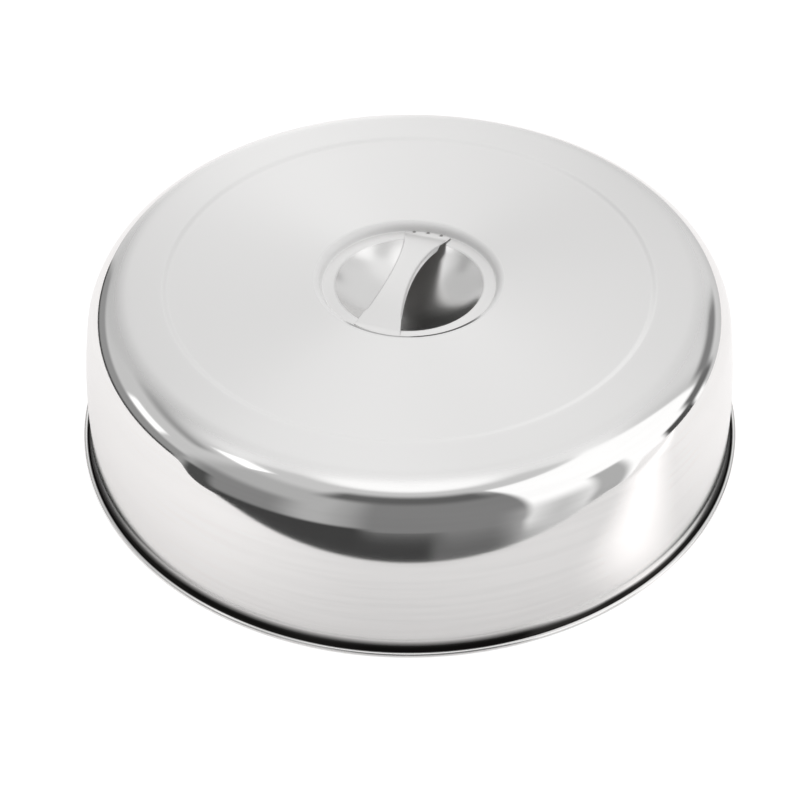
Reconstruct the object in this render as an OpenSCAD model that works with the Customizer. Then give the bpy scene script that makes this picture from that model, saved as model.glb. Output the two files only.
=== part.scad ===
// Buffet food cover: a drawn and rolled sheet dome with a strap handle in a round hand recess.
// Millimetres, +Z up. The origin is the centre of the rim's resting plane.

/* [Cover] */
// outside diameter over the rolled rim
rim_d = 360; // [300:1:460]
// height of the top above the resting plane
cover_h = 92.2; // [80:0.1:130]
// thickness of the cover's sheet
sheet = 0.8; // [0.5:0.05:1.1]
// how far the rim stands out from the foot of the wall
rim_reach = 5; // [4.4:0.1:9]
// lean of the wall at its foot, in degrees
wall_lean_foot = 0.3; // [0:0.1:3]
// lean of the wall where the shoulder begins, in degrees
wall_lean_top = 11.2; // [7:0.1:16]
// radius of the rounded shoulder
shoulder_r = 23; // [14:0.5:30]

/* [Rim] */
// outside radius of the rolled edge
curl_r = 1.25; // [1.15:0.05:2.2]
// how far round the edge is rolled outwards and up, in degrees
curl_sweep = 280; // [220:5:285]
// slope of the flare where it runs into the rolled edge, in degrees from upright
flare_slope = 55; // [40:1:60]
// how deep the rolled edge is pressed flat where it rests
land_press = 0.25; // [0.15:0.05:0.35]

/* [Top] */
// distance of the ring step from the inner edge of the shoulder
ring_inset = 19; // [6:0.5:50]
// width over which the ring step falls
ring_w = 4; // [3:0.5:8]
// depth of the ring step
ring_drop = 0.8; // [0.3:0.1:1.5]
// how far the top dishes down from the ring step to the recess
dish_drop = 1.8; // [0:0.1:5]

/* [Hand recess] */
// radius of the recess at its upper edge
recess_r = 50; // [46:0.5:70]
// depth of the seat below the recess's upper edge
recess_depth = 4.4; // [3.5:0.1:8]
// slope of the recess's side, in degrees
recess_slope = 72; // [60:1:80]
// rounding at the upper edge of the recess's side
recess_round = 4; // [1.5:0.1:4.5]
// rounding where the recess's side runs into the seat
seat_round = 0.8; // [0.5:0.1:1.5]
// width of the flat seat that the strap's feet stand on
seat_w = 5.1; // [4.5:0.1:9]
// depth of the bowl below the seat
bowl_depth = 12.5; // [8:0.5:22]
// rounding between the seat and the bowl
bowl_round = 2.5; // [1.5:0.1:4]

/* [Strap handle] */
// thickness of the strap's sheet
strap_t = 1; // [0.7:0.1:1.4]
// width of the strap's waist
strap_waist = 12.5; // [8:0.5:16]
// width of the strap's ends
strap_end_w = 27; // [20:0.5:32]
// how high the strap arches above the seat
strap_rise = 5.4; // [3:0.1:9]
// length of the flat feet at the strap's ends
foot_len = 4.6; // [3.6:0.1:5.4]
// depth of the turned-down edges under the strap
strap_edge = 2; // [1.2:0.1:3]
// how far short of the seat the turned-down edges stop
edge_stop = 7.5; // [6:0.5:14]
// how far the strap lies to the side of the recess's centre
strap_shift = 3.5; // [0:0.5:6]
// gap between the strap's ends and the side of the recess
end_gap = 0.4; // [0.2:0.1:1]
// diameter of the welded spots
spot_d = 1.8; // [1.4:0.1:2.4]
// distance between neighbouring welded spots
spot_step = 7.5; // [5:0.5:8]
// how far the welded spots are sunk below the strap's surface
spot_sink = 0.3; // [0.1:0.05:0.35]
// welded spots at each end of the strap
spot_count = 3; // [1:1:3]

/* [Hidden] */
$fn = 96;
over = 1;
steps = 12;
fine = 20;
rim_r = rim_d / 2;
strap_x = -strap_shift;

// rolled edge, and the flare that runs into it
foot_r = rim_r - rim_reach;
curl_c = [rim_r - curl_r, curl_r - land_press];
curl_in_r = curl_r - sheet;
flare_from = 180 + flare_slope;
flare_end = [curl_c[0] + curl_in_r * cos(flare_from), curl_c[1] + curl_in_r * sin(flare_from)];
flare_r = (flare_end[0] - foot_r) / (cos(wall_lean_foot) - cos(flare_slope));
flare_c = [flare_end[0] + flare_r * cos(flare_slope), flare_end[1] + flare_r * sin(flare_slope)];

// wall and shoulder
foot_z = flare_c[1] - flare_r * sin(wall_lean_foot);
shoulder_z = cover_h - shoulder_r;
join_z = shoulder_z + shoulder_r * sin(wall_lean_top);
belly_r = (join_z - foot_z) / (sin(wall_lean_top) - sin(wall_lean_foot));
belly_c = [foot_r - belly_r * cos(wall_lean_foot), foot_z - belly_r * sin(wall_lean_foot)];
shoulder_c = [belly_c[0] + (belly_r - shoulder_r) * cos(wall_lean_top), shoulder_z];

// ring step
ring_r = shoulder_c[0] - ring_inset;

// recess: its side is two roundings with a straight slope between them
edge_z = cover_h - ring_drop - dish_drop;
seat_z = edge_z - recess_depth;
rounds = recess_round + seat_round;
slope_fall = recess_depth - rounds * (1 - cos(recess_slope));
side_w = rounds * sin(recess_slope) + slope_fall / tan(recess_slope);
seat_out_r = recess_r - side_w;
seat_in_r = seat_out_r - seat_w;

// bowl: part of a ball that runs tangent into its rounded lip
lip_ball_r = (seat_in_r * seat_in_r + bowl_depth * bowl_depth) / (2 * bowl_depth);
bowl_ball_r = lip_ball_r - bowl_round;
bowl_c = [0, seat_z - bowl_depth + bowl_ball_r];
lip_c = [seat_in_r, seat_z - bowl_round];
bowl_slope = asin(seat_in_r / lip_ball_r);

// strap
strap_end_r = seat_out_r - end_gap;
spot_r = seat_out_r - spot_d / 2;
arch_half = strap_end_r - foot_len;
arch_r = (arch_half * arch_half + strap_rise * strap_rise) / (2 * strap_rise);
arch_c = [0, seat_z + strap_rise - arch_r];
waist_cut = (strap_end_w - strap_waist) / 2;
waist_r = (strap_end_r * strap_end_r + waist_cut * waist_cut) / (2 * waist_cut);
edge_half = seat_in_r - edge_stop;

// points of an arc with the direction that each faces; side is 1 for a bulge and -1 for a hollow
function arc(c, r, from, to, n, side) = [
    for (i = [0:n])
        let (t = from + (to - from) * i / n)
        [c[0] + r * cos(t), c[1] + r * sin(t), side * cos(t), side * sin(t)]
];

// smooth fall of the top at the ring step, from the outside in
function ring_fall(n) = [
    for (i = [0:n])
        [ring_r + ring_w / 2 - ring_w * i / n, cover_h - ring_drop * (1 - cos(180 * i / n)) / 2, 0, 1]
];

// the sheet's outside from the rolled edge up the wall and over the top to the middle of the bowl
function skin() = concat(
    arc(curl_c, curl_in_r, flare_from + curl_sweep, flare_from, 2 * steps, -1),
    arc(flare_c, flare_r, flare_from, 180 + wall_lean_foot, steps, -1),
    arc(belly_c, belly_r, wall_lean_foot, wall_lean_top, steps, 1),
    arc(shoulder_c, shoulder_r, wall_lean_top, 90, fine, 1),
    ring_fall(steps),
    arc([recess_r, edge_z - recess_round], recess_round, 90, 90 + recess_slope, steps, 1),
    arc([seat_out_r, seat_z + seat_round], seat_round, 270 + recess_slope, 270, steps, -1),
    arc(lip_c, bowl_round, 90, 90 + bowl_slope, steps, 1),
    arc(bowl_c, bowl_ball_r, 270 + bowl_slope, 270, fine, -1)
);

// the sheet's section: its outside, and the same line set in by the sheet's thickness
module sheet_section() {
    pts = skin();
    last = len(pts) - 1;
    outside = [for (p = pts) [p[0], p[1]]];
    inside = [
        for (i = [last:-1:0])
            [pts[i][0] - sheet * pts[i][2], pts[i][1] - sheet * pts[i][3]]
    ];
    difference() {
        polygon(concat(outside, inside));
        translate([0, -curl_r])
            square([rim_d, curl_r]);
    }
}

// cover: one sheet from the rolled rim to the bowl
module dome_shell() {
    color("silver")
    rotate_extrude()
    sheet_section();
}

// plan of the strap: round ends that follow the recess, and long sides drawn in to the waist
module strap_plan() {
    difference() {
        intersection() {
            circle(r = strap_end_r);
            translate([strap_x - strap_end_w / 2, -strap_end_r])
                square([strap_end_w, 2 * strap_end_r]);
        }
        strap_sides(waist_r);
    }
}

// the two rounds beside the strap
module strap_sides(r) {
    for (side = [-1, 1])
        translate([strap_x + side * (strap_waist / 2 + waist_r), 0])
            circle(r = r);
}

// plan of the turned-down edges
module edge_plan() {
    intersection() {
        strap_plan();
        strap_sides(waist_r + strap_t);
        translate([-recess_r, -edge_half])
            square([2 * recess_r, 2 * edge_half]);
    }
}

// side view of the strap's sheet: an arch between two flat feet
module strap_section() {
    intersection() {
        difference() {
            translate(arch_c)
                circle(r = arch_r + strap_t);
            translate(arch_c)
                circle(r = arch_r);
        }
        translate([-arch_half, seat_z])
            square([2 * arch_half, strap_rise + strap_t]);
    }
    for (side = [0, 1])
        mirror([side, 0])
            translate([arch_half - strap_t, seat_z])
                square([strap_end_r - arch_half + strap_t + over, strap_t]);
}

// side view of the turned-down edges
module edge_section() {
    difference() {
        translate(arch_c)
            circle(r = arch_r + strap_t / 2);
        translate(arch_c)
            circle(r = arch_r - strap_edge);
        translate([-arch_r - strap_t, arch_c[1] - arch_r - strap_t])
            square([2 * (arch_r + strap_t), arch_r + strap_t]);
    }
}

// stands a side view up across the strap
module across() {
    translate([-recess_r, 0, 0])
        rotate([90, 0, 90])
            linear_extrude(2 * recess_r)
                children();
}

// raises a plan through the strap's whole height
module upward() {
    translate([0, 0, seat_z - bowl_depth])
        linear_extrude(2 * bowl_depth)
            children();
}

// centres of the welded spots, which reach out to the edge of the seat
module at_spots() {
    for (end = [-1, 1], i = [0:spot_count - 1]) {
        x = strap_x + spot_step * (i - (spot_count - 1) / 2);
        translate([x, end * sqrt(spot_r * spot_r - x * x), seat_z])
            children();
    }
}

// strap handle: arched sheet with turned-down edges and flat feet
module handle_strap() {
    color("gainsboro")
    difference() {
        union() {
            intersection() {
                across()
                    strap_section();
                upward()
                    strap_plan();
            }
            intersection() {
                across()
                    edge_section();
                upward()
                    edge_plan();
            }
        }
        at_spots()
            translate([0, 0, -over])
                cylinder(d = spot_d, h = strap_t + 2 * over);
    }
}

// welded spots: they fill the notches in the strap's ends down to the seat
module spot_welds() {
    color("darkgray")
    at_spots()
        cylinder(d = spot_d, h = strap_t - spot_sink);
}

dome_shell();
handle_strap();
spot_welds();
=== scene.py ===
"""Looks of a buffet food cover: a polished sheet dome with a strap handle in a hand recess.

Metres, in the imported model's frame: +Z up, origin at the centre of the rim's resting plane, strap along Y.
"""
import math
from collections import namedtuple

import bpy
from mathutils import Matrix, Vector


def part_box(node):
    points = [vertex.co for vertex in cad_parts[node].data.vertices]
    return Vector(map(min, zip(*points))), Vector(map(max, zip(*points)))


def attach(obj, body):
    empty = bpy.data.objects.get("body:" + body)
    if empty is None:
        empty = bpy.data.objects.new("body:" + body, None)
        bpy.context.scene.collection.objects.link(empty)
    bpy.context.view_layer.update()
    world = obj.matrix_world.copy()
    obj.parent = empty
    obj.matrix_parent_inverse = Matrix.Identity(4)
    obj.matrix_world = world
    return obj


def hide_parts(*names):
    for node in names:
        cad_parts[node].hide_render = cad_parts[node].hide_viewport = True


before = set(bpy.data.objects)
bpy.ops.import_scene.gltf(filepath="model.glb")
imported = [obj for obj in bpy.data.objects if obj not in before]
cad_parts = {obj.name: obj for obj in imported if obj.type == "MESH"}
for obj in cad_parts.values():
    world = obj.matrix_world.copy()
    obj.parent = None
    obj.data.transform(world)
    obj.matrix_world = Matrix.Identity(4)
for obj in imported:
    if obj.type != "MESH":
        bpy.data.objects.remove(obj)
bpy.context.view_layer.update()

MM = 0.001
QUARTER = math.pi / 2

# Cover: the same driving sizes as the part's source, measured where the frame holds them.
_, shell_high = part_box("dome_shell")
RIM_R = shell_high[1]
COVER_H = shell_high[2]
SHEET = 0.8 * MM
RIM_REACH = 5 * MM
WALL_LEAN_FOOT = math.radians(0.3)
WALL_LEAN_TOP = math.radians(11.2)
SHOULDER_R = 23 * MM
CURL_R = 1.25 * MM
CURL_SWEEP = math.radians(280)
FLARE_SLOPE = math.radians(55)
LAND_PRESS = 0.25 * MM
RING_INSET = 19 * MM
RING_W = 4 * MM
RING_DROP = 0.8 * MM
DISH_DROP = 1.8 * MM
RECESS_R = 50 * MM
RECESS_DEPTH = 4.4 * MM
RECESS_SLOPE = math.radians(72)
RECESS_ROUND = 4 * MM
SEAT_ROUND = 0.8 * MM
SEAT_W = 5.1 * MM
BOWL_DEPTH = 12.5 * MM
BOWL_ROUND = 2.5 * MM

# Strap handle.
STRAP_T = 1 * MM
STRAP_WAIST = 12.5 * MM
STRAP_END_W = 27 * MM
STRAP_RISE = 5.4 * MM
FOOT_LEN = 4.6 * MM
STRAP_EDGE = 2 * MM
EDGE_STOP = 7.5 * MM
STRAP_X = -3.5 * MM
END_GAP = 0.4 * MM
SPOT_D = 1.8 * MM
SPOT_STEP = 7.5 * MM
SPOT_SINK = 0.3 * MM

# Places that follow from these, worked out as in the part's source.
FOOT_R = RIM_R - RIM_REACH
CURL_C = (RIM_R - CURL_R, CURL_R - LAND_PRESS)
CURL_IN_R = CURL_R - SHEET
FLARE_FROM = math.pi + FLARE_SLOPE
FLARE_END = (CURL_C[0] + CURL_IN_R * math.cos(FLARE_FROM), CURL_C[1] + CURL_IN_R * math.sin(FLARE_FROM))
FLARE_R = (FLARE_END[0] - FOOT_R) / (math.cos(WALL_LEAN_FOOT) - math.cos(FLARE_SLOPE))
FLARE_C = (FLARE_END[0] + FLARE_R * math.cos(FLARE_SLOPE), FLARE_END[1] + FLARE_R * math.sin(FLARE_SLOPE))
FOOT_Z = FLARE_C[1] - FLARE_R * math.sin(WALL_LEAN_FOOT)
SHOULDER_Z = COVER_H - SHOULDER_R
JOIN_Z = SHOULDER_Z + SHOULDER_R * math.sin(WALL_LEAN_TOP)
BELLY_R = (JOIN_Z - FOOT_Z) / (math.sin(WALL_LEAN_TOP) - math.sin(WALL_LEAN_FOOT))
BELLY_C = (FOOT_R - BELLY_R * math.cos(WALL_LEAN_FOOT), FOOT_Z - BELLY_R * math.sin(WALL_LEAN_FOOT))
SHOULDER_C = (BELLY_C[0] + (BELLY_R - SHOULDER_R) * math.cos(WALL_LEAN_TOP), SHOULDER_Z)
RING_R = SHOULDER_C[0] - RING_INSET
EDGE_Z = COVER_H - RING_DROP - DISH_DROP
SEAT_Z = EDGE_Z - RECESS_DEPTH
ROUNDS = RECESS_ROUND + SEAT_ROUND
SLOPE_FALL = RECESS_DEPTH - ROUNDS * (1 - math.cos(RECESS_SLOPE))
SIDE_W = ROUNDS * math.sin(RECESS_SLOPE) + SLOPE_FALL / math.tan(RECESS_SLOPE)
SEAT_OUT_R = RECESS_R - SIDE_W
SEAT_IN_R = SEAT_OUT_R - SEAT_W
LIP_BALL_R = (SEAT_IN_R ** 2 + BOWL_DEPTH ** 2) / (2 * BOWL_DEPTH)
BOWL_BALL_R = LIP_BALL_R - BOWL_ROUND
BOWL_C = (0.0, SEAT_Z - BOWL_DEPTH + BOWL_BALL_R)
LIP_C = (SEAT_IN_R, SEAT_Z - BOWL_ROUND)
BOWL_SLOPE = math.asin(SEAT_IN_R / LIP_BALL_R)
STRAP_END_R = SEAT_OUT_R - END_GAP
SPOT_R = SEAT_OUT_R - SPOT_D / 2
ARCH_HALF = STRAP_END_R - FOOT_LEN
ARCH_R = (ARCH_HALF ** 2 + STRAP_RISE ** 2) / (2 * STRAP_RISE)
ARCH_C_Z = SEAT_Z + STRAP_RISE - ARCH_R
WAIST_CUT = (STRAP_END_W - STRAP_WAIST) / 2
WAIST_R = (STRAP_END_R ** 2 + WAIST_CUT ** 2) / (2 * WAIST_CUT)
EDGE_HALF = SEAT_IN_R - EDGE_STOP

# Softer shapes of the strap that its solid leaves plain.
BEND_R = 1.2 * MM
BEND_LEAST = 0.25  # share of the bend's radius that is left at the feet
EDGE_ENDS = (EDGE_HALF - 3 * MM, EDGE_HALF + 1 * MM)  # where the turned-down edges run out
HANG_LEAST = 0.02  # share of the edges' depth that is left at the feet
CORNER_SHARE = 0.98  # how far out the corners lie, as a share of the end's half width
CREASE = 0.15 * MM
SPOT_MARKS = (-1, 0, 1)
MARK_DEPTH = 1.3 * SPOT_SINK
MARK_EDGE = (SPOT_D / 2 - 0.1 * MM, SPOT_D / 2 + 0.3 * MM)

# Fineness of the meshes.
SAME_PLACE = 1e-7
TURNS = 256
CURL_STEPS = 24
FLARE_STEPS = 16
WALL_STEPS = 24
SHOULDER_STEPS = 40
RING_STEPS = 16
RECESS_STEPS = 10
SEAT_STEPS = 8
LIP_STEPS = 10
BOWL_STEPS = 23
FLAT_STEP = 2 * MM
FLAT_STEPS_MOST = 10
STRAP_STEPS_ALONG = 320
STRAP_STEPS_ACROSS = 36
STRAP_STEPS_BEND = 6
STRAP_STEPS_HANG = 4
TABLE_STEPS = 144

# Steel: colours, then roughness and where one finish gives way to the next.
SHELL_COLOUR = (0.87, 0.865, 0.86)
INSIDE_COLOUR = (0.8, 0.795, 0.79)
BOWL_COLOUR = (0.85, 0.845, 0.84)
RECESS_SIDE_COLOUR = (0.96, 0.955, 0.95)
STRAP_COLOUR = (0.82, 0.815, 0.81)
# painted shade: the strap's underside is darker than its top, so that its reflection in the bowl is dark
SHADED_UNDERSIDE_COLOUR = (0.4, 0.395, 0.39)
WELD_COLOUR = (0.35, 0.345, 0.34)
# dark colour for painted shade in the groove and along the recess's edge, and for faint random streaks on
# the wall
SHADE_AND_STREAK_COLOUR = (0.02, 0.019, 0.018)
SATIN = 0.36
POLISHED = 0.05
SPUN = 0.15
BOWL_ROUGHNESS = 0.2
DULL = 0.5
INSIDE_BRUSH = (0.3, 0.08)  # brushed steel has a mean roughness and a spread
STRAP_BRUSH = (SATIN, 0.06)
UNDERSIDE_BRUSH = (0.4, 0.08)
WELD_BRUSH = (0.45, 0.08)
SATIN_FADE = (SHOULDER_C[0] + 2 * MM, SHOULDER_C[0] + 13 * MM)  # radii, from the satin top outwards
SPUN_FADE = (30 * MM, 52 * MM)  # heights, from the spun wall upwards
SPUN_SMEAR = 0.85
ACROSS_RINGS = 0.25  # turn of the smear from along the rings to across them
DULL_METAL = 0.15  # share of the dull recess side that shines as metal

# Marks and painted shade on the steel: lines are counted per metre, sectors in degrees from -Y towards +X.
WALL_LINES = 1400
SPUN_SPREAD = 0.1
RING_LINES = 900
RING_HEIGHT_SHARE = 1.7  # how much the rings on the wall count height against radius
BUMP_STRENGTH = 0.03
BUMP_DEPTH = 0.05 * MM
BRUSH_LINES = 5000
BRUSH_ALONG = 60
STREAK_LINES = 320
STREAK_ALONG = 12
STREAK_RANGE = (0.35, 0.75)
STREAK_SHADE = 0.04
# Painted shade in the groove above the rolled edge; it reaches less high in one sector, where a bright
# reflection shows in the groove.
GROOVE_LOW = 2 * MM
BEAD_EDGE = (CURL_C[0] - CURL_R, CURL_C[0] - CURL_R / 2)
LOW_SHADE_SECTOR = (41, 77)
LOW_SHADE_SOFT = 16
LOW_SHADE_HEIGHT = 0.6 * FOOT_Z
# Painted shade in a line along the recess's edge: dark in one sector, and faint in another along the gap at
# the strap's near end.
LINE_BAND = (RECESS_R - 2.6 * MM, RECESS_R - 0.65 * MM)
LINE_BAND_SOFT = 0.5 * MM
DARK_SECTOR = (17, 63)
DARK_SOFT = 14
DARK_SHADE = 0.95
FAINT_SECTOR = (-22, 22)
FAINT_SOFT = 8
FAINT_SHADE = 0.5

# Camera, fitted to the photograph's 800 by 800 frame.
IMAGE = 800
FOCAL_PX = 1600
SENSOR_MM = 36
CAM_CLIP = 10 * MM
CAM_AZIMUTH = math.radians(18.7)
CAM_ELEVATION = math.radians(42.37)
CAM_DISTANCE = 4.97 * RIM_R
CAM_ROLL = math.radians(-0.5)
ORIGIN_PX = (409.4, 403.4)

# Stage: a floor that the camera sees, and an oval white table top with a pool of light for the metal.
STAGE_SIZE = 6.0
WHITE = (1.0, 1.0, 1.0)
WARM_WHITE = (1.0, 0.96, 0.95)
PAPER_COLOUR = (0.85, 0.85, 0.85)
FLOOR_GLOW = 0.6
TABLE_DEPTH = RIM_R + 87 * MM
TABLE_WIDTH = RIM_R + 169 * MM
TABLE_FRONT = math.radians(50)
TABLE_SIDE = math.radians(80)
TABLE_LIFT = 0.05 * MM
TABLE_GLOW = 0.40
DIM_GLOW = 0.22
DIM_SECTOR = (-26, 60)
DIM_SOFT = 44
POOL_GLOW = 0.7
POOL_TOWARD = (122 * MM, 167 * MM)
POOL_TOWARD_SOFT = 44 * MM
POOL_RIGHT = (88 * MM, 150 * MM)
STUDIO_LEVEL = 0.64

# Screens in the studio, in degrees: azimuth from the camera's side, positive to its right, and elevation,
# then how bright the screen is and how soft its edges are. Later screens cover earlier ones. Azimuths run
# from -180 to 180, so a screen across the back is given as two.
Screen = namedtuple("Screen", "azimuth elevation level soft")
SCREENS = (
    # bright behind the object
    Screen((-215, -161), (-10, 86), 1.14, 28),
    Screen((173, 215), (-10, 86), 1.14, 28),
    # both sides of that, and above
    Screen((-165, -130), (15, 70), 0.58, 16),
    Screen((118, 168), (10, 70), 0.76, 20),
    Screen((-215, -100), (56, 91), 0.92, 14),
    Screen((100, 215), (56, 91), 0.92, 14),
    # darker in front, darkest near the table and under the ceiling
    Screen((-72, -18), (-40, 54), 0.48, 12),
    Screen((-72, -38), (-40, 24), 0.26, 14),
    Screen((-20, 46), (-40, 56), 0.24, 18),
    Screen((-66, -14), (-40, -16), 0.056, 9),
    Screen((-74, -64), (-40, 8), 0.08, 5),
    Screen((-20, 9), (-40, -24), 0.056, 9),
    Screen((7, 34), (-40, -26), 0.144, 8),
    Screen((-34, 32), (46, 63), 0.128, 12),
    # dark strips on the left
    Screen((-145, -74), (-2, 16), 0.32, 6),
    Screen((-145, -78), (-2, 3), 0.064, 3),
    Screen((-130, -84), (40, 48), 0.36, 8),
    # bright on the right, dimmer at its foot, with dark strips beyond
    Screen((36, 108), (-27, 62), 1.16, 4),
    Screen((36, 58), (-40, 6), 0.624, 24),
    Screen((58, 70), (-40, 20), 0.48, 5),
    Screen((86, 101), (-3, 9), 0.08, 4),
    Screen((98, 116), (5, 17), 0.16, 6),
    Screen((112, 138), (13, 26), 0.24, 8),
    # two small bright ones on the left, and the ceiling
    Screen((-95, -72), (53, 62), 1.36, 4),
    Screen((-106, -88), (17, 26), 1.28, 4),
    Screen((-180, 180), (75, 91), 1.16, 8),
)


def smoothstep(low, high, x):
    """0 below low, 1 above high, and a smooth rise between them."""
    t = min(1.0, max(0.0, (x - low) / (high - low)))
    return t * t * (3 - 2 * t)


def soft_positive(x, soft):
    """x where it is above zero and 0 where it is below, with the corner rounded over about soft."""
    return max(x, 0.0) + soft * math.log1p(math.exp(-abs(x) / soft))


def mesh_object(name, verts, faces):
    """A smooth-shaded mesh object in the scene."""
    mesh = bpy.data.meshes.new(name)
    mesh.from_pydata(verts, [], faces)
    mesh.polygons.foreach_set("use_smooth", [True] * len(mesh.polygons))
    obj = bpy.data.objects.new(name, mesh)
    bpy.context.collection.objects.link(obj)
    return obj


def arc(centre, radius, start, end, count, side):
    """Points (r, z) of an arc with the direction each faces; side is 1 for a bulge, -1 for a hollow."""
    points = []
    for i in range(count + 1):
        t = start + (end - start) * i / count
        c, s = math.cos(t), math.sin(t)
        points.append((centre[0] + radius * c, centre[1] + radius * s, side * c, side * s))
    return points


def between(first, last, count):
    """Points strictly between two points of the skin, for the long flat stretches."""
    return [
        tuple(a + (b - a) * i / (count + 1) for a, b in zip(first, last))
        for i in range(1, count + 1)
    ]


def ring_fall(count):
    """The top's smooth fall at the ring step, from the outside in."""
    points = []
    for i in range(count + 1):
        u = i / count
        fall = RING_DROP * (1 - math.cos(math.pi * u)) / 2
        points.append((RING_R + RING_W / 2 - RING_W * u, COVER_H - fall, 0.0, 1.0))
    return points


def dome_skin():
    """The sheet's outside, from the rolled edge up the wall and over the top to the middle of the bowl."""
    up, down = QUARTER, 3 * QUARTER
    recess_c = (RECESS_R, EDGE_Z - RECESS_ROUND)
    seat_c = (SEAT_OUT_R, SEAT_Z + SEAT_ROUND)
    stretches = [
        arc(CURL_C, CURL_IN_R, FLARE_FROM + CURL_SWEEP, FLARE_FROM, CURL_STEPS, -1),
        arc(FLARE_C, FLARE_R, FLARE_FROM, math.pi + WALL_LEAN_FOOT, FLARE_STEPS, -1),
        arc(BELLY_C, BELLY_R, WALL_LEAN_FOOT, WALL_LEAN_TOP, WALL_STEPS, 1),
        arc(SHOULDER_C, SHOULDER_R, WALL_LEAN_TOP, up, SHOULDER_STEPS, 1),
        ring_fall(RING_STEPS),
        arc(recess_c, RECESS_ROUND, up, up + RECESS_SLOPE, RECESS_STEPS, 1),
        arc(seat_c, SEAT_ROUND, down + RECESS_SLOPE, down, SEAT_STEPS, -1),
        arc(LIP_C, BOWL_ROUND, up, up + BOWL_SLOPE, LIP_STEPS, 1),
        arc(BOWL_C, BOWL_BALL_R, down + BOWL_SLOPE, down, BOWL_STEPS, -1),
    ]
    skin = []
    for stretch in stretches:
        if skin:
            gap = math.dist(skin[-1][:2], stretch[0][:2])
            skin += between(skin[-1], stretch[0], min(FLAT_STEPS_MOST, int(gap / FLAT_STEP)))
            if gap < SAME_PLACE:
                stretch = stretch[1:]
        skin += stretch
    return skin


def revolve(name, profile, turns):
    """A closed (r, z) profile turned about Z, and the profile row of each of its faces.

    A point of the profile on the axis becomes one vertex.
    """
    verts, rows = [], []
    for r, z in profile:
        if r < SAME_PLACE:
            rows.append([len(verts)] * turns)
            verts.append((0.0, 0.0, z))
        else:
            rows.append(list(range(len(verts), len(verts) + turns)))
            for k in range(turns):
                t = 2 * math.pi * k / turns
                verts.append((r * math.cos(t), r * math.sin(t), z))
    faces, face_rows = [], []
    for i, low in enumerate(rows):
        high = rows[(i + 1) % len(rows)]
        for k in range(turns):
            n = (k + 1) % turns
            loop = [low[k], low[n], high[n], high[k]]
            corners = [v for j, v in enumerate(loop) if v != loop[j - 1]]
            if len(corners) > 2:
                faces.append(corners)
                face_rows.append(i)
    return mesh_object(name, verts, faces), face_rows


def make_dome():
    """The cover's sheet, with a material each for outside, inside, the bowl and the recess's side."""
    outside_steel, inside_steel, bowl_steel, side_steel = range(4)
    skin = dome_skin()
    skin[-1] = (0.0,) + skin[-1][1:]  # the bowl's last point lies exactly on the axis
    outside = [(r, z) for r, z, _, _ in skin]
    inside = [(max(r - SHEET * nr, 0.0), max(z - SHEET * nz, 0.0)) for r, z, nr, nz in reversed(skin)]
    inside[0] = (0.0, inside[0][1])
    dome, face_rows = revolve("dome_skin", outside + inside, TURNS)
    middle = len(outside) - 1
    bead_row = len(outside) + len(inside) - 1 - CURL_STEPS
    for polygon, row in zip(dome.data.polygons, face_rows):
        if middle - BOWL_STEPS <= row < middle:
            polygon.material_index = bowl_steel
        elif row < middle and SEAT_OUT_R < polygon.center.xy.length < RECESS_R:
            polygon.material_index = side_steel
        elif CURL_STEPS <= row < middle or row >= bead_row:
            polygon.material_index = outside_steel
        else:
            polygon.material_index = inside_steel
    return dome


def spot_places():
    """Centres of the welded spots at the strap's far end, where their marks show."""
    for i in SPOT_MARKS:
        x = STRAP_X + SPOT_STEP * i
        yield x, math.sqrt(SPOT_R ** 2 - x * x)


def strap_top(x, y):
    """Height of the strap's upper surface: an arch with softly creased flat feet and pressed weld marks."""
    arch = ARCH_C_Z + math.sqrt(ARCH_R ** 2 - y * y) - SEAT_Z
    away = min(math.hypot(x - spot_x, y - spot_y) for spot_x, spot_y in spot_places())
    mark = 1 - smoothstep(*MARK_EDGE, away)
    return SEAT_Z + STRAP_T + soft_positive(arch, CREASE) - MARK_DEPTH * mark


def strap_half_width(y):
    """Half the strap's width at a place along it."""
    return STRAP_WAIST / 2 + WAIST_R - math.sqrt(WAIST_R ** 2 - y * y)


def strap_strip():
    """Stations across the strap: side, stretch (flat, bend or hanging edge) and how far along it."""
    half = [("flat", i / STRAP_STEPS_ACROSS) for i in range(STRAP_STEPS_ACROSS + 1)]
    half += [("bend", (i + 1) / STRAP_STEPS_BEND) for i in range(STRAP_STEPS_BEND)]
    half += [("hang", (i + 1) / STRAP_STEPS_HANG) for i in range(STRAP_STEPS_HANG)]
    return [(-1, kind, t) for kind, t in reversed(half)] + [(1, kind, t) for kind, t in half[1:]]


def strap_point(u, side, kind, t):
    """A point of the strap's upper surface; u runs from -1 to 1 along it."""
    corner = CORNER_SHARE * strap_half_width(STRAP_END_R)
    x_end = STRAP_X + side * corner * (t if kind == "flat" else 1.0)
    y = u * math.sqrt(STRAP_END_R ** 2 - x_end ** 2)
    turn = 1 - smoothstep(*EDGE_ENDS, abs(y))
    radius = BEND_R * (BEND_LEAST + (1 - BEND_LEAST) * turn)
    width = strap_half_width(y)
    if kind == "flat":
        out, drop = (width - radius) * t, 0.0
    elif kind == "bend":
        angle = QUARTER * t
        out, drop = width - radius + radius * math.sin(angle), radius * (1 - math.cos(angle))
    else:
        out, drop = width, radius + (STRAP_EDGE + STRAP_T - BEND_R) * max(turn, HANG_LEAST) * t
    x = STRAP_X + side * out
    return x, y, strap_top(x, y) - drop


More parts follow.
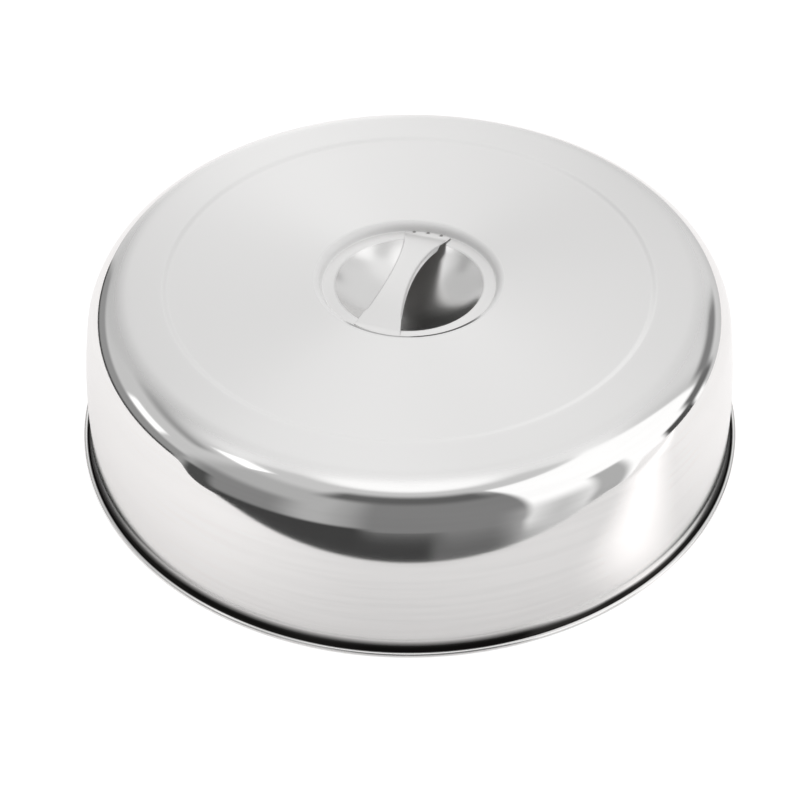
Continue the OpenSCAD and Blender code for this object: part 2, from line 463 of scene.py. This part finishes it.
def make_strap():
    """The strap as one sheet: long edges turned down between the feet, ends round with the recess."""
    strip = strap_strip()
    verts, faces = [], []
    for i in range(STRAP_STEPS_ALONG + 1):
        u = -1 + 2 * i / STRAP_STEPS_ALONG
        verts += [strap_point(u, *station) for station in strip]
    row = len(strip)
    for i in range(STRAP_STEPS_ALONG):
        for k in range(row - 1):
            a = i * row + k
            faces.append((a, a + 1, a + row + 1, a + row))
    strap = mesh_object("strap_sheet", verts, faces)
    thick = strap.modifiers.new("sheet", "SOLIDIFY")
    thick.thickness = STRAP_T
    thick.offset = -1.0
    # the solid's inner side takes the next material, the underside with painted shade
    thick.material_offset = 1
    return strap


def make_camera():
    """A camera whose frame puts the origin at ORIGIN_PX, seen from the fitted elevation and distance."""
    across, down = ((p - IMAGE / 2) / FOCAL_PX for p in ORIGIN_PX)
    ray = Vector((across, down, 1.0)).normalized()
    pitch = math.asin(math.sin(CAM_ELEVATION) / math.hypot(ray.y, ray.z)) - math.atan2(ray.y, ray.z)
    right = Vector((1, 0, 0))
    forward = Vector((0, math.cos(pitch), -math.sin(pitch)))
    under = Vector((0, -math.sin(pitch), -math.cos(pitch)))
    place = -CAM_DISTANCE * (right * ray.x + under * ray.y + forward * ray.z)
    turn = Matrix((right, -under, -forward)).transposed().to_4x4()
    data = bpy.data.cameras.new("camera")
    data.sensor_width = SENSOR_MM
    data.lens = SENSOR_MM * FOCAL_PX / IMAGE
    data.clip_start = CAM_CLIP
    camera = bpy.data.objects.new("camera", data)
    camera.matrix_world = (
        Matrix.Rotation(CAM_AZIMUTH, 4, "Z")
        @ Matrix.Translation(place)
        @ turn
        @ Matrix.Rotation(CAM_ROLL, 4, "Z")
    )
    bpy.context.collection.objects.link(camera)
    bpy.context.scene.camera = camera


class Nodes:
    """Short calls for building a node tree. Values are numbers or the outputs of nodes."""

    def __init__(self, tree):
        self.tree = tree
        tree.nodes.clear()

    def add(self, kind, **settings):
        """A new node with these settings."""
        node = self.tree.nodes.new(kind)
        for key, value in settings.items():
            setattr(node, key, value)
        return node

    def feed(self, socket, value):
        """Links an output to the socket, or sets the socket's own value."""
        if isinstance(value, bpy.types.NodeSocket):
            self.tree.links.new(value, socket)
        else:
            socket.default_value = value

    def math(self, operation, a, b=0.0):
        node = self.add("ShaderNodeMath", operation=operation)
        self.feed(node.inputs[0], a)
        self.feed(node.inputs[1], b)
        return node.outputs[0]

    def total(self, first, *rest):
        for value in rest:
            first = self.math("ADD", first, value)
        return first

    def product(self, first, *rest):
        for value in rest:
            first = self.math("MULTIPLY", first, value)
        return first

    def rest_of(self, share):
        """1 less a share."""
        return self.math("SUBTRACT", 1.0, share)

    def length(self, x, y):
        return self.math("SQRT", self.total(self.product(x, x), self.product(y, y)))

    def facing(self, x, y):
        """Degrees of the direction (x, y), from -Y towards +X."""
        return self.math("DEGREES", self.math("ARCTAN2", x, self.product(y, -1.0)))

    def ramp(self, value, low, high, to_low=0.0, to_high=1.0):
        """value from low..high to to_low..to_high, smoothly and clamped."""
        node = self.add("ShaderNodeMapRange", interpolation_type="SMOOTHSTEP")
        for socket, given in zip(node.inputs, (value, low, high, to_low, to_high)):
            self.feed(socket, given)
        return node.outputs[0]

    def inside(self, value, low, high, soft):
        """1 between low and high, 0 outside, with soft edges centred on both."""
        rise = self.ramp(value, low - soft / 2, low + soft / 2)
        fall = self.ramp(value, high - soft / 2, high + soft / 2, 1.0, 0.0)
        return self.product(rise, fall)

    def noise(self, w):
        """Noise along a line whose place the caller has scaled to lines."""
        node = self.add("ShaderNodeTexNoise", noise_dimensions="1D")
        self.feed(node.inputs["W"], w)
        node.inputs["Scale"].default_value = 1.0
        node.inputs["Detail"].default_value = 2.0
        return node.outputs["Fac"]

    def streaks(self, x, y, z):
        """Soft noise over a place whose axes the caller has scaled."""
        place = self.add("ShaderNodeCombineXYZ")
        for socket, given in zip(place.inputs, (x, y, z)):
            self.feed(socket, given)
        node = self.add("ShaderNodeTexNoise", noise_dimensions="3D")
        self.feed(node.inputs["Vector"], place.outputs[0])
        node.inputs["Scale"].default_value = 1.0
        node.inputs["Detail"].default_value = 3.0
        return node.outputs["Fac"]

    def grain(self, value, spread, w):
        """value varied by noise along a line, over a range of spread."""
        return self.total(value - spread / 2, self.product(self.noise(w), spread))

    def mix(self, factor, a, b):
        node = self.add("ShaderNodeMix", data_type="FLOAT")
        self.feed(node.inputs["Factor"], factor)
        self.feed(node.inputs["A"], a)
        self.feed(node.inputs["B"], b)
        return node.outputs["Result"]

    def place(self, kind="Object"):
        """x, y and z of the shaded point."""
        node = self.add("ShaderNodeSeparateXYZ")
        self.feed(node.inputs[0], self.add("ShaderNodeTexCoord").outputs[kind])
        return node.outputs

    def surface(self, shader, kind="ShaderNodeOutputMaterial"):
        """Ends the tree with this shader."""
        self.feed(self.add(kind).inputs["Surface"], shader.outputs[0])


def opaque(colour):
    """A colour as a socket takes it."""
    return (*colour, 1.0)


def new_material(name):
    """A material and its empty node tree."""
    material = bpy.data.materials.new(name)
    material.use_nodes = True
    return material, Nodes(material.node_tree)


def steel(name, base, roughness, bump=None, shade=None, smear=0.0, metal=1.0):
    """A metal material; roughness, bump and shade are built by calls that get its nodes.

    shade is 1 where nothing is painted and falls towards 0 in painted shade and faint streaks, smear is how
    strongly rings round Z draw its reflections out across them, and metal is below 1 where the steel is
    dull.
    """
    material, nodes = new_material(name)
    shader = nodes.add("ShaderNodeBsdfPrincipled")
    shader.inputs["Base Color"].default_value = opaque(base)
    shader.inputs["Metallic"].default_value = metal
    nodes.feed(shader.inputs["Roughness"], roughness(nodes))
    if shade:
        # Painted shade and random streaks: where shade is below 1 the base colour falls towards their dark
        # colour.
        colour = nodes.add("ShaderNodeMix", data_type="RGBA")
        nodes.feed(colour.inputs["Factor"], shade(nodes))
        colour.inputs["A"].default_value = opaque(SHADE_AND_STREAK_COLOUR)
        colour.inputs["B"].default_value = opaque(base)
        nodes.feed(shader.inputs["Base Color"], colour.outputs["Result"])
    if smear:
        shader.inputs["Anisotropic"].default_value = smear
        shader.inputs["Anisotropic Rotation"].default_value = ACROSS_RINGS
        tangent = nodes.add("ShaderNodeTangent", direction_type="RADIAL", axis="Z")
        nodes.feed(shader.inputs["Tangent"], tangent.outputs[0])
    if bump:
        relief = nodes.add("ShaderNodeBump")
        relief.inputs["Distance"].default_value = BUMP_DEPTH
        relief.inputs["Strength"].default_value = BUMP_STRENGTH
        nodes.feed(relief.inputs["Height"], bump(nodes))
        nodes.feed(shader.inputs["Normal"], relief.outputs[0])
    nodes.surface(shader)
    return material


def even(value):
    """The same value all over."""
    return lambda nodes: value


def brushed(value, spread):
    """Roughness with fine brushing along Y."""
    def build(nodes):
        x, y, _ = nodes.place()
        w = nodes.total(nodes.product(x, BRUSH_LINES), nodes.product(y, BRUSH_ALONG))
        return nodes.grain(value, spread, w)
    return build


def dome_roughness(nodes):
    """Satin top and seat, polished shoulder, finely spun wall."""
    x, y, z = nodes.place()
    top = nodes.ramp(nodes.length(x, y), *SATIN_FADE, 1.0, 0.0)
    wall = nodes.ramp(z, *SPUN_FADE, 1.0, 0.0)
    spun = nodes.grain(SPUN, SPUN_SPREAD, nodes.product(z, WALL_LINES))
    return nodes.mix(top, nodes.mix(wall, POLISHED, spun), SATIN)


def dome_bump(nodes):
    """Fine rings left by spinning, on the wall and on the top."""
    x, y, z = nodes.place()
    along = nodes.total(nodes.length(x, y), nodes.product(z, RING_HEIGHT_SHARE))
    return nodes.noise(nodes.product(along, RING_LINES))


def dome_shade(nodes):
    """1 where nothing is painted, a little less in random streaks on the wall, 0 in the painted shade of the
    groove above the rolled edge.
    """
    x, y, z = nodes.place()
    r = nodes.length(x, y)
    # Painted shade of the groove: it reaches less high in one sector, so that a bright reflection shows
    # there.
    low_shade = nodes.inside(nodes.facing(x, y), *LOW_SHADE_SECTOR, LOW_SHADE_SOFT)
    unshaded_wall = nodes.ramp(z, GROOVE_LOW, nodes.mix(low_shade, FOOT_Z, LOW_SHADE_HEIGHT))
    bead = nodes.ramp(r, *BEAD_EDGE)
    groove = nodes.math("MAXIMUM", nodes.product(unshaded_wall, unshaded_wall), bead)
    noise = nodes.streaks(
        nodes.product(x, STREAK_ALONG), nodes.product(y, STREAK_ALONG), nodes.product(z, STREAK_LINES)
    )
    dulled = nodes.ramp(noise, *STREAK_RANGE, 0.0, STREAK_SHADE)
    streaks = nodes.product(nodes.ramp(r, RING_R, FOOT_R), dulled)
    return nodes.product(groove, nodes.rest_of(streaks))


def recess_shade(nodes):
    """1 where nothing is painted, falling in a painted line of shade along part of the recess's edge."""
    x, y, _ = nodes.place()
    # Painted shade: a dark line on the recess's near-right rounding and a faint one along the gap at the
    # strap's near end.
    facing = nodes.facing(x, y)
    dark = nodes.product(nodes.inside(facing, *DARK_SECTOR, DARK_SOFT), DARK_SHADE)
    faint = nodes.product(nodes.inside(facing, *FAINT_SECTOR, FAINT_SOFT), FAINT_SHADE)
    band = nodes.inside(nodes.length(x, y), *LINE_BAND, LINE_BAND_SOFT)
    return nodes.rest_of(nodes.product(band, nodes.math("MAXIMUM", dark, faint)))


def camera_ground(nodes, x, y):
    """The place (x, y) on the stage, as how far it lies to the camera's right and how far towards it."""
    c, s = math.cos(CAM_AZIMUTH), math.sin(CAM_AZIMUTH)
    right = nodes.total(nodes.product(x, c), nodes.product(y, s))
    toward = nodes.total(nodes.product(x, s), nodes.product(y, -c))
    return right, toward


def camera_azimuth(nodes, x, y):
    """Degrees of the direction (x, y) on the stage from the camera's side, positive to its right."""
    right, toward = camera_ground(nodes, x, y)
    return nodes.facing(right, nodes.product(toward, -1.0))


def paper(name, glow_colour, glow_strength):
    """Matt white that also shines a little."""
    material, nodes = new_material(name)
    diffuse = nodes.add("ShaderNodeBsdfDiffuse")
    diffuse.inputs["Color"].default_value = opaque(PAPER_COLOUR)
    glow = nodes.add("ShaderNodeEmission")
    glow.inputs["Color"].default_value = opaque(glow_colour)
    nodes.feed(glow.inputs["Strength"], glow_strength(nodes))
    both = nodes.add("ShaderNodeAddShader")
    nodes.feed(both.inputs[0], diffuse.outputs[0])
    nodes.feed(both.inputs[1], glow.outputs[0])
    nodes.surface(both)
    return material


def table_glow(nodes):
    """The table top is dimmer on the camera's side, with a pool of light to its right."""
    x, y, _ = nodes.place()
    right, toward = camera_ground(nodes, x, y)
    dim = nodes.inside(camera_azimuth(nodes, x, y), *DIM_SECTOR, DIM_SOFT)
    pool = nodes.product(
        nodes.inside(toward, *POOL_TOWARD, POOL_TOWARD_SOFT), nodes.ramp(right, *POOL_RIGHT)
    )
    return nodes.mix(pool, nodes.mix(dim, TABLE_GLOW, DIM_GLOW), POOL_GLOW)


def table_edge(turn):
    """Distance of the table's edge: an oval in front that opens out to the sides."""
    oval = math.hypot(math.cos(turn) / TABLE_DEPTH, math.sin(turn) / TABLE_WIDTH)
    return 1 / (oval + (1 / STAGE_SIZE - oval) * smoothstep(TABLE_FRONT, TABLE_SIDE, abs(turn)))


def make_floor():
    """The pale floor that the camera sees and the metal doesn't."""
    s = STAGE_SIZE
    floor = mesh_object("floor", [(-s, -s, 0), (s, -s, 0), (s, s, 0), (-s, s, 0)], [(0, 1, 2, 3)])
    floor.visible_glossy = False
    floor.data.materials.append(paper("floor", WHITE, even(FLOOR_GLOW)))


def make_table():
    """The white table top that only the metal sees, in the floor's place."""
    outline = []
    for k in range(TABLE_STEPS):
        turn = -math.pi + 2 * math.pi * k / TABLE_STEPS
        r, facing = table_edge(turn), turn + CAM_AZIMUTH
        outline.append((r * math.sin(facing), -r * math.cos(facing), TABLE_LIFT))
    faces = [(TABLE_STEPS, k, (k + 1) % TABLE_STEPS) for k in range(TABLE_STEPS)]
    table = mesh_object("table", outline + [(0, 0, TABLE_LIFT)], faces)
    table.visible_camera = False
    table.visible_diffuse = False
    table.visible_shadow = False
    table.data.materials.append(paper("table", WARM_WHITE, table_glow))


def make_world():
    """White behind the object; for everything else a pale studio with screens."""
    world = bpy.data.worlds.new("studio")
    bpy.context.scene.world = world
    world.use_nodes = True
    nodes = Nodes(world.node_tree)
    x, y, z = nodes.place("Generated")
    azimuth = camera_azimuth(nodes, x, y)
    elevation = nodes.math("DEGREES", nodes.math("ARCTAN2", z, nodes.length(x, y)))
    light = STUDIO_LEVEL
    for screen in SCREENS:
        covered = nodes.product(
            nodes.inside(azimuth, *screen.azimuth, screen.soft),
            nodes.inside(elevation, *screen.elevation, screen.soft),
        )
        light = nodes.mix(covered, light, screen.level)
    shown = nodes.mix(nodes.add("ShaderNodeLightPath").outputs["Is Camera Ray"], light, 1.0)
    background = nodes.add("ShaderNodeBackground")
    background.inputs["Color"].default_value = opaque(WHITE)
    nodes.feed(background.inputs["Strength"], shown)
    nodes.surface(background, "ShaderNodeOutputWorld")


dome = make_dome()
for material in (
    steel("dome_outside", SHELL_COLOUR, dome_roughness, dome_bump, dome_shade, smear=SPUN_SMEAR),
    steel("dome_inside", INSIDE_COLOUR, brushed(*INSIDE_BRUSH)),
    steel("bowl_steel", BOWL_COLOUR, even(BOWL_ROUGHNESS)),
    steel("recess_side", RECESS_SIDE_COLOUR, even(DULL), shade=recess_shade, metal=DULL_METAL),
):
    dome.data.materials.append(material)
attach(dome, "root")
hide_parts("dome_shell")

strap = make_strap()
strap.data.materials.append(steel("strap_steel", STRAP_COLOUR, brushed(*STRAP_BRUSH)))
# The underside's darker colour is painted shade.
strap.data.materials.append(steel("strap_underside_shaded", SHADED_UNDERSIDE_COLOUR, brushed(*UNDERSIDE_BRUSH)))
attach(strap, "root")
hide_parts("handle_strap")

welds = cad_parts["spot_welds"]
welds.data.materials.clear()
welds.data.materials.append(steel("weld_steel", WELD_COLOUR, brushed(*WELD_BRUSH)))

make_camera()
make_floor()
make_table()
make_world()
bpy.context.scene.view_settings.view_transform = "Standard"
